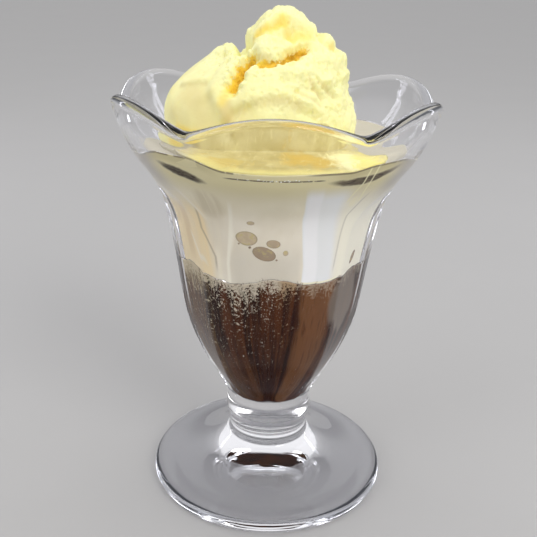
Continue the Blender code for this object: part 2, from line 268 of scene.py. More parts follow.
class Look(Nodes):
    # a material round one Principled shader; fixed values are set straight on its sockets
    def __init__(self, name, fixed):
        self.material = bpy.data.materials.new(name)
        self.material.use_nodes = True
        super().__init__(self.material.node_tree)
        self.shader = self.tree.nodes["Principled BSDF"]
        for label, value in fixed.items():
            self.feed(label, value)

    def feed(self, label, value):
        self.plug(self.shader.inputs[label], value)

    def cover(self, share, shader):
        # another shader takes over from the Principled one by a share
        plain = Wire(self, self.shader.outputs[0])
        both = self.node("MixShader", {0: share, 1: plain, 2: shader})
        self.plug(self.tree.nodes["Material Output"].inputs["Surface"], both)

    def vectors(self, operation, inputs):
        return self.node("VectorMath", inputs, operation=operation)

    def place(self, upright=1, deep=1):
        # the point on the object in millimetres, stretched upwards and from front to back
        coordinates = self.node("TexCoord", output="Object")
        scale = (1000, 1000 * deep, 1000 * upright)
        return self.node("Mapping", {"Vector": coordinates, "Scale": scale})

    def axis(self, name):
        return self.node("SeparateXYZ", {0: self.place()}, name)

    def around(self, upright, wallRadius=25):
        # the point carried out to one radius, so that marks run along the wall from top to foot
        point = self.place()
        flat = self.vectors("MULTIPLY", {0: point, 1: (1, 1, 0)})
        ring = self.vectors("NORMALIZE", {0: flat})
        wide = self.vectors("SCALE", {0: ring, "Scale": wallRadius})
        lift = self.vectors("MULTIPLY", {0: point, 1: (0, 0, upright)})
        return self.vectors("ADD", {0: wide, 1: lift})

    def bearing(self):
        # degrees round the axis from the front, positive to the right
        return self.axis("X").maths("ARCTAN2", self.axis("Y") * -1) * (180 / math.pi)

    def field(self, name):
        return self.node("Attribute", output="Fac", attribute_name=name)

    def noise(self, size, detail=3, upright=1, rough=0.5, twist=0, deep=1, at=None):
        # cloudy noise, 0 to 1, whose largest blobs are about size millimetres
        return self.node("TexNoise", {
            "Vector": at or self.place(upright, deep), "Scale": 1 / size,
            "Detail": detail, "Roughness": rough, "Distortion": twist})

    def mix(self, share, a, b):
        a, b = ((*x, 1) if isinstance(x, tuple) else x for x in (a, b))
        return self.node("Mix", {0: share, 6: a, 7: b}, 2, data_type="RGBA")

    def coats(self, colour, *layers):
        # coats of (share, colour), each hiding what lies under it by its share
        for share, over in layers:
            colour = self.mix(share, colour, over)
        return colour

    def bump(self, height, distance, strength):
        self.feed("Normal", self.node("Bump", {
            "Height": height, "Distance": distance * mm, "Strength": strength}))


glassValues = {
    "petals": 6, "frontPetal": -90, "columns": 288,
    "footRadius": 38.4, "footEdge": 4.4, "restRing": (29, 34.5), "footHollow": 3.2,
    "footFlare": 1.7, "stemFoot": (13.2, 15.4),
    "stem": ((15.4, 13.2), (18.4, 12.7), (22.6, 13.5), (24.6, 13.95), (29.2, 13.6)),
    "pillar": (
        (29.2, 13.6), (31.5, 14.2), (34, 15.4), (37.5, 17.5), (42, 20.2), (48, 23.1), (54, 25.4),
        (60, 27.1), (68, 28.5), (78, 29.9), (88, 31.6), (96, 33.2), (100, 34.5), (104, 36.6),
        (108, 39.3), (112, 42.2), (116, 44.3), (120, 45.9), (124, 47.2), (129, 48.4)),
    "inside": (
        (30.6, 5), (34, 7.4), (38, 10.3), (43, 13.6), (48, 16.3), (54, 18.8), (60, 20.7),
        (68, 22.2), (78, 23.5), (88, 25.2), (96, 27), (100, 28.4), (104, 30.9), (108, 34.4),
        (112, 38), (116, 40.6), (120, 42.4), (124, 43.7), (129, 44.8)),
    "panelHalfAngle": 20, "panelStart": (31, 37), "panelArch": (92, 104.5),
    "panelEdge": 0.12,  # rounding of the panels' edges
    "insideHexagon": (40, 62), "insideRound": 101, "insideFloor": 30.6,
    "shoulder": 104, "rimHeights": (122.5, 127.7), "rimThickness": 4,
    "valleyRounding": 0.14, "valleyCrease": 0.9,
}


def petalOffset(angle):
    # signed angle to the middle of the nearest petal, in radians
    sector = 2 * math.pi / glassValues["petals"]
    front = math.radians(glassValues["frontPetal"])
    return (angle - front + sector / 2) % sector - sector / 2


def petalWave(angle):
    # 1 at a petal's tip and 0 in a valley: |cos(3 x offset)| with its corner rounded
    soft = glassValues["valleyRounding"]
    plain = np.cos(petalOffset(angle) * glassValues["petals"] / 2)
    return (np.sqrt(plain ** 2 + soft ** 2) - soft) / (math.sqrt(1 + soft ** 2) - soft)


def rimHeight(angle):
    # valley + (tip - valley) x the petal wave
    low, high = glassValues["rimHeights"]
    return low + (high - low) * petalWave(angle)


def cupCrease(angle, height):
    # the cup is pinched in below each valley: a half sine wave from shoulder to rim
    shoulder = glassValues["shoulder"]
    share = np.clip((height - shoulder) / (rimHeight(angle) - shoulder), 0, 1)
    return glassValues["valleyCrease"] * (1 - petalWave(angle)) * np.sin(math.pi * share)


def flattened(radius, angle, halfAngle):
    # a circle with a flat panel cut halfAngle to each side of every petal's middle
    flat = radius * np.cos(halfAngle) / np.cos(petalOffset(angle))
    depth = radius * (1 - np.cos(halfAngle))
    return softMin(radius, flat, np.minimum(glassValues["panelEdge"], 0.6 * depth))


def outsideRadius(angle, height):
    # the bowl's outside: a turned outline with panels that open above the collar and close in
    # a quarter ellipse below the shoulder, less the creases of the cup
    v = glassValues
    low, high = v["panelArch"]
    rise = np.clip((height - low) / (high - low), 0, 1)
    opening = np.sqrt(1 - rise ** 2) * smoothStep(*v["panelStart"], height)
    halfAngle = math.radians(v["panelHalfAngle"]) * opening
    full = hermiteCurve(v["pillar"], height)
    return flattened(full, angle, halfAngle) - cupCrease(angle, height)


def insideRadius(angle, height, clearance=0):
    # the inside: a hexagon low down, round above, less the creases of the cup
    v = glassValues
    low, high = v["insideHexagon"]
    corner, panel = math.pi / v["petals"], math.radians(v["panelHalfAngle"])
    halfAngle = corner + (panel - corner) * smoothStep(low, high, height)
    halfAngle = halfAngle * (1 - smoothStep(high, v["insideRound"], height))
    full = hermiteCurve(v["inside"], height) - clearance
    return flattened(full, angle, halfAngle) - cupCrease(angle, height)


def columnAngles(count):
    # evenly spaced angles from the front petal on, as one row
    front = glassValues["frontPetal"]
    return np.radians(front + np.arange(count) * 360 / count)[None, :]


def footOutline():
    # radius and height from the middle of the underside, round the edge, up to the collar
    v = glassValues
    inner, outer = v["restRing"]
    stemRadius, stemHeight = v["stemFoot"]
    half = v["footEdge"] / 2
    edge = v["footRadius"] - half
    under = np.linspace(1.2, inner, 12)
    turn = np.radians(np.linspace(-66, 90, 20))
    top = np.linspace(edge - 1.2, stemRadius, 30)
    rise = ((edge - top) / (edge - stemRadius)) ** v["footFlare"]
    heights = np.linspace(stemHeight + 0.25, v["stem"][-1][0], 30)
    return np.concatenate([np.column_stack(pair) for pair in (
        (under, v["footHollow"] * (1 - (under / inner) ** 2)),
        ((inner + 1.5, outer - 1, outer), (0, 0, 0)),
        (edge + half * np.cos(turn), half + half * np.sin(turn)),
        (top, v["footEdge"] + (stemHeight - v["footEdge"]) * rise),
        (hermiteCurve(v["stem"], heights), heights))])


def glassRings():
    # up the outside of foot and bowl, over the rim, and down the inside to its floor
    v = glassValues
    angle = columnAngles(v["columns"])
    foot, shoulder, floor = footOutline(), v["shoulder"], v["insideFloor"]
    bowl = rowsOf((29.8, 40, 14), (41.2, shoulder - 0.9, 54))
    well = rowsOf((shoulder - 1, 40, 56), (39, floor + 0.5, 12))
    rim = rimHeight(angle)
    cup = shoulder + (rim - shoulder) * rowsOf((0, 1, 38))
    half = v["rimThickness"] / 2
    turn = np.radians(rowsOf((9, 180, 20)))
    edge = outsideRadius(angle, rim)
    # the lining of the cup bends near the rim to keep the rim's thickness
    share = rowsOf((0.97, 0, 36))
    lining = shoulder + (rim - shoulder) * share
    bend = edge - 2 * half - insideRadius(angle, rim)
    bottom = insideRadius(angle, floor) - 0.35
    return np.concatenate([turned(angle, radius, height) for radius, height in (
        (foot[:, :1], foot[:, 1:]),
        (outsideRadius(angle, bowl), bowl),
        (outsideRadius(angle, cup), cup),
        (edge - half + half * np.cos(turn), rim + half * np.sin(turn)),
        (insideRadius(angle, lining) + bend * smoothStep(0.72, 1, share), lining),
        (insideRadius(angle, well), well), (bottom, floor), (bottom * 0.5, floor))])


def glassLook(name, tint, shade):
    # clear pressed glass: faint waves from the mould; light passes through it in shadow, dimmed
    # by the shade at each wall, and light that has gone to and fro in it too often is let out
    look = Look(name, {"Base Color": (*tint, 1), "Roughness": 0, "IOR": 1.5,
                       "Transmission Weight": 1, "Specular Tint": (0.45, 0.45, 0.47, 1)})
    look.bump(look.noise(9, 2, 0.6), 0.12, 0.5)
    shadow, mirrored, bounced = (look.node("LightPath", output=kind) for kind in
                                 ("Is Shadow Ray", "Glossy Depth", "Ray Depth"))
    trapped = mirrored.maths("GREATER_THAN", 3.5).maths(
        "MAXIMUM", bounced.maths("GREATER_THAN", 10.5))
    look.cover(shadow.maths("MAXIMUM", trapped),
               look.node("BsdfTransparent", {"Color": (*shade, 1)}))
    return look.material


mesh = addPiece("glassShell", [glassRings()],
                glassLook("clearGlass", (0.985, 0.985, 0.992), (0.8, 0.81, 0.84)),
                "glass", "glass")
# the thick foot is a second material of the same glass that casts a deeper shadow
mesh.materials.append(glassLook("footGlass", (0.91, 0.91, 0.93), (0.45, 0.46, 0.49)))
slots = np.zeros(len(mesh.polygons), dtype=np.int32)
slots[:(len(footOutline()) - 1) * glassValues["columns"]] = 1
mesh.polygons.foreach_set("material_index", slots)


def wallSheen(look, index):
    # seen flatly enough, the border of glass and liquid mirrors what is round it and hides the
    # liquid: a steep step of the Fresnel value, only where the piece lies on the wall
    fresnel = look.node("Fresnel", {"IOR": index})
    look.cover(fresnel.step(0.25, 0.85) * look.field("wall"), look.node(
        "BsdfAnisotropic", {"Roughness": 0, "Color": (0.97, 0.97, 0.98, 1)}))


fillValues = {
    "columns": 432,
    "reach": 0.12,  # how far each filling goes into the wall, so no air shows
    "coffeeLevel": 78.6, "levelDip": 0.85, "mirrorFrom": (56, 70),
    "milkLevel": 113.4, "meniscus": 1.9, "meniscusWidth": 1.6,
    "dimpleRadius": 23, "dimpleDepth": 5, "dimpleCentre": (-4, -1),
    "ripples": ((0.16, 5, 21), (0.08, 2, 22)),  # height, size, seed
}


def layerLevel(angle):
    # where coffee and milk meet on the wall: high in the panels and low at the pillars, plus a
    # few slow and quick waves
    return (fillValues["coffeeLevel"] + fillValues["levelDip"] * np.cos(6 * petalOffset(angle))
            + 0.22 * np.sin(5 * angle + 2) + 0.14 * np.sin(11 * angle)
            + 0.1 * np.sin(23 * angle + 1) + 0.07 * np.sin(41 * angle + 2))


def fillRings(angle, heights, share=1):
    # rings just inside the wall's surface, or at a share of the way to it
    over = np.maximum(heights, glassValues["insideFloor"])
    return turned(angle, insideRadius(angle, over, -fillValues["reach"]) * share, heights)


def coffeeRings():
    angle = columnAngles(fillValues["columns"])
    low, top = glassValues["insideFloor"] - fillValues["reach"], layerLevel(angle)
    heights = low + (top - low) * rowsOf((0, 1, 90)) ** 1.15
    rings = np.concatenate([fillRings(angle, *row) for row in (
        (low, 0.4), (low, 0.8), (heights,), (top, 0.9), (top, 0.5))])
    # the lower cone shows the coffee right to its edge, so nothing is mirrored there
    onWall = smoothStep(*fillValues["mirrorFrom"], rings[..., 2])
    return rings, {"wall": [onWall], "under": [top - rings[..., 2]]}


def coffeeLook():
    # dark brown in long upright streaks, with darker and lighter brown bands side by side and a
    # grey milky patch on the right; under the milk it is full of flecks and threads of froth
    look = Look("coffeeAndFroth", {"Roughness": 0.5, "Specular IOR Level": 0})
    turn, z, under = look.bearing(), look.axis("Z"), look.field("under")
    streaks, threads = look.noise(2.6, at=look.around(0.06)), look.noise(0.8, at=look.around(0.09))
    side = turn + (look.noise(5, 2, at=look.around(0.5)) - 0.5) * 8
    olive, low = side.band(-118, -48, 6), z.step(54, 47)
    tilted = z + (turn - 60) * 0.12 + (streaks - 0.5) * 5
    body = look.coats(
        look.mix(streaks.step(0.38, 0.64), (0.016, 0.002, 0), (0.082, 0.022, 0.0045)),
        (side.band(21, 44, 3) * 0.85, (0.185, 0.078, 0.03)),
        (side.band(-49, -36, 2) * z.step(50, 56) * 0.8, (0.012, 0.001, 0)),
        (olive * threads.step(0.36, 0.58) * 0.85, (0.12, 0.052, 0.004)),
        (olive * (z + (threads - 0.5) * 14).step(69, 78) * 0.9, (0.34, 0.26, 0.13)),
        (low * side.band(-14, 12, 4) * 0.8, (0.022, 0.002, 0)),
        (low * side.band(-48, -18, 4) * 0.6, (0.1, 0.038, 0.012)),
        (threads.step(0.47, 0.34) * 0.4, (0.02, 0.002, 0)),
        (threads.step(0.52, 0.68) * 0.32, (0.125, 0.05, 0.014)),
        (patch(side, tilted, (59.5, 68.6), (17.5, 10.6), 0.3) * 0.8, (0.215, 0.17, 0.135)))
    # froth: specks and threads whose share falls off with the depth under the milk
    left, right = side.band(-118, -43, 7), side.band(18, 118, 4)
    specks = look.noise(0.55, 4, 0.75, 0.7, 0.3)
    strands = look.noise(0.85, 3, 0.14, 0.6, 0.5)
    uneven = (look.noise(3.2, 2, 0.45) - 0.5) * 0.3
    cut = 0.4 + under * (0.034 - 0.008 * side.band(-30, -7, 4)) - uneven + 0.05 * right
    cut = cut.maths("MINIMUM", 0.562 + under * 0.0028 - uneven * 0.5 + 0.07 * right)
    fine = (strands - (cut + 0.02 - 0.045 * left)).step(0, 0.06) * under.step(12, 7)
    froth = (specks - cut).step(-0.01, 0.05).maths("MAXIMUM", fine * (0.55 + 0.25 * left))
    foam = look.coats(look.mix(left, (0.72, 0.64, 0.5), (0.7, 0.6, 0.4)),
                      (side.band(4, 18, 3) * 0.7, (0.42, 0.25, 0.1)))
    # the flat underside, seen only through the thick collar, is painted pale grey: a painted
    # reflection that draws a light line along the glass's floor
    look.feed("Base Color", look.coats(body, (froth * (0.82 - 0.45 * right), foam),
                                       (z.step(31.3, 30.7), (0.42, 0.41, 0.42))))
    wallSheen(look, 0.89)
    return look.material


rings, fields = coffeeRings()
addPiece("coffeeFill", [rings], coffeeLook(), "coffee", "coffee", fields=fields)


def climb(angle):
    # how far the milk's edge stands above its level: least in front, and drawn up the wall to
    # each side where the melted ice cream ends
    turn = wrapped(np.degrees(angle) - glassValues["frontPetal"])
    return (fillValues["meniscus"] + 2.6 * smoothStep(-18, -34, turn)
            * smoothStep(-62, -46, turn) + 1.2 * smoothStep(28, 40, turn)
            * smoothStep(66, 52, turn) - 1 * smoothStep(60, 80, np.abs(turn)))


def dimpleHeight(radius):
    # the top of the milk: level, with a shallow bowl (1 - r^2)^2 deep under the ice cream
    share = np.clip(radius / fillValues["dimpleRadius"], 0, 1)
    return fillValues["milkLevel"] - fillValues["dimpleDepth"] * (1 - share ** 2) ** 2


def milkRings():
    v = fillValues
    angle = columnAngles(v["columns"])
    low = layerLevel(angle)
    high = v["milkLevel"] + climb(angle) + 0.12 * np.sin(9 * angle + 1)
    wall = fillRings(angle, low + (high - low) * rowsOf((0, 1, 90)))
    middle = np.array((*v["dimpleCentre"], 0))
    spread = wall[-1:] * (1, 1, 0)
    top = spread + (middle - spread) * rowsOf((0.01, 0.97, 50))[..., None]
    fromWall, fromMiddle = (np.linalg.norm(top - start, axis=-1) for start in (spread, middle))
    ripples = layeredNoise(top + 50, v["ripples"]) * smoothStep(0, 3, fromWall)
    top[..., 2] = (dimpleHeight(fromMiddle) + ripples
                   + climb(angle) * np.exp(-(fromWall / v["meniscusWidth"]) ** 1.3))
    rings = np.concatenate((fillRings(angle, low, 0.5), fillRings(angle, low, 0.9), wall, top))
    onWall = np.ones(rings.shape[:2])
    onWall[-len(top):] = 0
    return rings, {"wall": [onWall], "above": [rings[..., 2] - low],
                   "below": [high - rings[..., 2]]}


def milkLook():
    # warm pale grey; beige to the left, a blue-white painted highlight on the right-hand pillar with
    # cream beyond it, and painted lines where the glass's panel edges bend the light; olive near the
    # top, where the ice cream melts in, and brown wisps just above the coffee
    look = Look("milkAndCream", {"Roughness": 0.35, "Specular IOR Level": 0.15})
    turn, z = look.bearing(), look.axis("Z")
    above, below, wall = (look.field(name) for name in ("above", "below", "wall"))
    clouds, streaks = look.noise(9, upright=0.6), look.noise(2.2, at=look.around(0.1))
    wavy = turn + (streaks - 0.5) * 16
    body = look.coats(
        look.mix(clouds.step(0.35, 0.68), (0.86, 0.785, 0.63), (0.93, 0.865, 0.725)),
        (streaks.step(0.5, 0.66) * 0.4 * turn.band(-120, -22, 8), (0.92, 0.84, 0.66)),
        (wavy.band(-112, -40, 8) * z.step(107, 99) * 0.95, (1, 0.82, 0.5)),
        (turn.band(-62, -53, 2) * z.band(83, 101, 3) * 0.6, (0.8, 0.61, 0.35)),
        (turn.band(-26, 19, 3) * z.step(94, 84) * 0.5, (0.66, 0.62, 0.53)),
        (z.step(97, 106) * 0.6, (0.94, 0.87, 0.63)),
        (z.step(105, 112) * 0.8, (0.8, 0.72, 0.4)))
    # the right-hand pillar: a painted highlight, crisp and blue-white on its left and cream on its
    # right, with a painted bright line along its foot and a painted grey line where the glass's next
    # panel begins
    height, flare = z.step(112, 106), (z - 84).maths("MAXIMUM", 0)
    upright = turn + flare * 0.3
    pillar = upright.step(19.9, 20.9) * upright.step(46, 36) * height
    cream = upright.step(36, 46) * turn.step(116, 92) * z.step(109, 101)
    bow = turn - (z - 100).maths("MAXIMUM", 0) * 0.75
    body = look.coats(
        body, (pillar * 0.9, (0.93, 0.95, 0.96)),
        (upright.band(21.4, 28, 1) * height, (1, 1, 1)),
        (cream * 0.9, (1, 0.97, 0.82)),
        (bow.band(39.7, 40.7, 0.5) * z.band(82, 107, 2) * 0.45, (0.46, 0.43, 0.36)),
        (above.band(0, 0.8, 0.15) * turn.band(20, 44, 2), (0.98, 0.94, 0.72)))
    # the left-hand pillar: two painted highlight lines down it and painted brown shade at its upper
    # end, and along the panel beside it a painted dark line and two painted pale highlight lines,
    # where the glass's edges bend the light
    upright = turn - flare * 0.33
    brown = patch(turn, z, (-33, 103.5), (8, 4.5), 0.7) * streaks.step(0.4, 0.6)
    bow = turn + (z - 85.5).maths("MAXIMUM", 0).maths("MINIMUM", 8.5) * 0.85
    body = look.coats(
        body, (upright.band(-28.8, -26.8, 0.7) * z.step(107, 102) * 0.9, (1, 0.95, 0.8)),
        (turn.band(-35.8, -32.6, 1.2) * z.step(91, 86) * 0.7, (0.99, 0.92, 0.74)),
        (brown * 0.35, (0.5, 0.4, 0.22)),
        (bow.band(-37, -35.6, 0.6) * z.band(82, 101, 2) * 0.6, (0.4, 0.33, 0.22)))
    for low, slope, foot, top in ((-39.9, 1.2, 97.8, 107), (-45.5, 1.1, 82.4, 91)):
        line = (turn + (z - foot) * slope).band(low, low + 2.4, 0.9) * z.band(foot, top, 1.5)
        body = look.mix(line * 0.7, body, (1, 0.93, 0.77))
    # olive scum where the milk's edge stands on the wall, and beside the pillars two thick dark brown
    # wedges of painted reflection
    far = (turn * turn) ** 0.5
    scum = below.step(3.4, 1.2) * wall * far.band(24, 58, 6)
    fibres = 0.88 + 0.12 * look.noise(2, upright=6).step(0.4, 0.6)
    tops = z + (look.noise(3, 2) - 0.5)
    bend = (turn - 31) * 0.1
    wedgeReflections = (patch(turn, tops + (turn + 38) * 0.17, (-38.5, 112.7), (9.5, 1.25), 0.6),
              patch(turn, tops - bend * bend * 0.6, (37, 112), (14.5, 1.1), 0.6))
    body = look.coats(body, (scum * 0.45, (0.5, 0.43, 0.2)),
                      (wedgeReflections[0] * fibres, (0.032, 0.016, 0.005)),
                      (wedgeReflections[1] * fibres, (0.065, 0.04, 0.019)))
    # two thin yellow strands run down from it on the right and end in a small pale smear
    for low in (36.9, 40.2):
        strand = (turn + z.step(112, 105) * (38.8 - low)).band(low, low + 0.7, 0.3)
        body = look.mix(strand * z.step(104.4, 105.6) * 0.8, body, (1, 0.95, 0.62))
    smear = patch(turn, z, (38.8, 105.2), (2.2, 1.6), 0.6)
    # a thin dark hem along the edge, painted grey shade near the top beyond the pillars and dark
    # dashes in front
    hem = below.step(0.75, 0.35) * wall * far.band(13, 58, 4) * streaks.step(0.3, 0.42)
    greyShade = z.step(102, 112) * (0.6 + 0.15 * wall) * far.step(44, 60)
    dashes = z.band(113.25, 113.6, 0.1) * look.noise(1.6, upright=0.4).step(0.34, 0.42)
    # wisps of coffee drawn up into the milk
    wisps = look.noise(1, 4, 0.4, 0.65, 0.6) - (0.56 + above * 0.085)
    look.feed("Base Color", look.coats(
        body, (smear * 0.5, (1, 0.94, 0.66)), (hem * 0.75, (0.085, 0.05, 0.02)),
        (greyShade, (0.44, 0.42, 0.44)),
        (dashes * turn.band(-18, 18, 2) * 0.9, (0.08, 0.055, 0.04)),
        (wisps.step(0, 0.06) * 0.6, (0.3, 0.2, 0.12))))
    wallSheen(look, 0.81)
    return look.material


rings, fields = milkRings()
addPiece("milkFill", [rings], milkLook(), "milk", "milk", fields=fields)


bubbleValues = {
    # bearing from the front, height, width, height of the oval, lean, darkness of painted shade from
    # 0 to 1
    "bubbles": ((-16.2, 93, 6.2, 4.9, -8, 0), (-5.5, 88.1, 6.8, 4.3, -20, 0.75),
                (0.2, 91.4, 3.9, 2.7, -6, 0.35), (-13, 98.6, 2.2, 1.5, 0, 0.05),
                (8, 88.5, 1.5, 1.7, 0, 0.05), (-14.5, 90, 0.8, 0.8, 0, 1),
                (-21.5, 91, 0.6, 0.6, 0, 0.7), (2.5, 86.2, 0.6, 0.6, 0, 0.9),
                (57, 83.6, 2.1, 4.4, -20, 1), (-9, 89.3, 0.7, 0.6, 0, 1),
                (-150, 96, 3, 2.4, 10, 0.3), (128, 91, 2.2, 2, 0, 0.4)),
    "swell": 0.1, "backSwell": -0.4, "rim": 0.04, "points": 40,
    "shares": (0.1, 0.45, 0.8, 0.97, 1),  # places of the rings from middle to edge
    "beads": 30, "beadSeed": 71, "beadHeight": (113.4, 113.9), "beadSize": (0.14, 0.26),
    "beadSpread": 9.9,
}


def bubbleRings(bearing, height, width, tall, lean):
    # a lens on the wall: ellipses from the middle of its back, over the edge, to the middle of
    # its front, which stands out by swell x (1 - share^2)
    v = bubbleValues
    turn = (np.arange(v["points"]) * 2 * math.pi / v["points"])[None, :]
    share = np.array((*v["shares"], *v["shares"][::-1]))[:, None]
    front = np.arange(len(share))[:, None] >= len(v["shares"])
    lean = math.radians(lean)
    sideways, upward = width / 2 * np.cos(turn), tall / 2 * np.sin(turn)
    across = share * (sideways * math.cos(lean) - upward * math.sin(lean))
    heights = height + share * (sideways * math.sin(lean) + upward * math.cos(lean))
    angle = np.radians(bearing + glassValues["frontPetal"])
    angle = angle + across / insideRadius(angle, height)
    bulge = np.where(front, v["swell"], v["backSwell"]) * (1 - share ** 2) + v["rim"] * front
    rings = turned(angle, insideRadius(angle, heights, -fillValues["reach"]) + bulge, heights)
    return rings, np.broadcast_to(share, rings.shape[:2])


def bubbleLook():
    # a thin skin of foam over air: beige brown, with painted shade at its edge and in the deeper ones
    look = Look("bubbleSkin", {"Roughness": 0.3, "Specular IOR Level": 0.3})
    mottle = look.noise(1.6)
    look.feed("Base Color", look.coats(
        look.mix(mottle.step(0.35, 0.65), (0.6, 0.475, 0.32), (0.66, 0.55, 0.36)),
        (look.field("dark"), (0.34, 0.25, 0.17)),
        (mottle.step(0.56, 0.66) * 0.5, (0.6, 0.5, 0.2)),
        (look.field("edge").step(0.8, 0.98) * 0.45, (0.3, 0.24, 0.16))))
    return look.material


tubes, edges = zip(*(bubbleRings(*row[:-1]) for row in bubbleValues["bubbles"]))
darks = [np.full(edge.shape, row[-1]) for edge, row in zip(edges, bubbleValues["bubbles"])]
addPiece("milkBubbles", tubes, bubbleLook(), "milk", fields={"edge": edges, "dark": darks})


def beadRings():
    # small round beads of froth along the milk's edge, close together in front
    v = bubbleValues
    random = np.random.default_rng(v["beadSeed"])
    bearing = random.normal(0, v["beadSpread"], v["beads"])
    height = random.uniform(*v["beadHeight"], v["beads"])
    size = random.uniform(*v["beadSize"], v["beads"])
    tilt = np.radians(rowsOf((-75, 75, 7)))
    ball = turned(np.arange(10) * 2 * math.pi / 10, np.cos(tilt), np.sin(tilt))
    angle = np.radians(bearing + glassValues["frontPetal"])
    centres = turned(angle, insideRadius(angle, height), height)
    return [centre + radius * ball for centre, radius in zip(centres, size)]


look = Look("frothBeads", {"Base Color": (0.93, 0.91, 0.82, 1), "Roughness": 0.25})
look.bump(look.noise(0.3, 2), 0.02, 0.5)
addPiece("frothBeads", beadRings(), look.material, "milk")


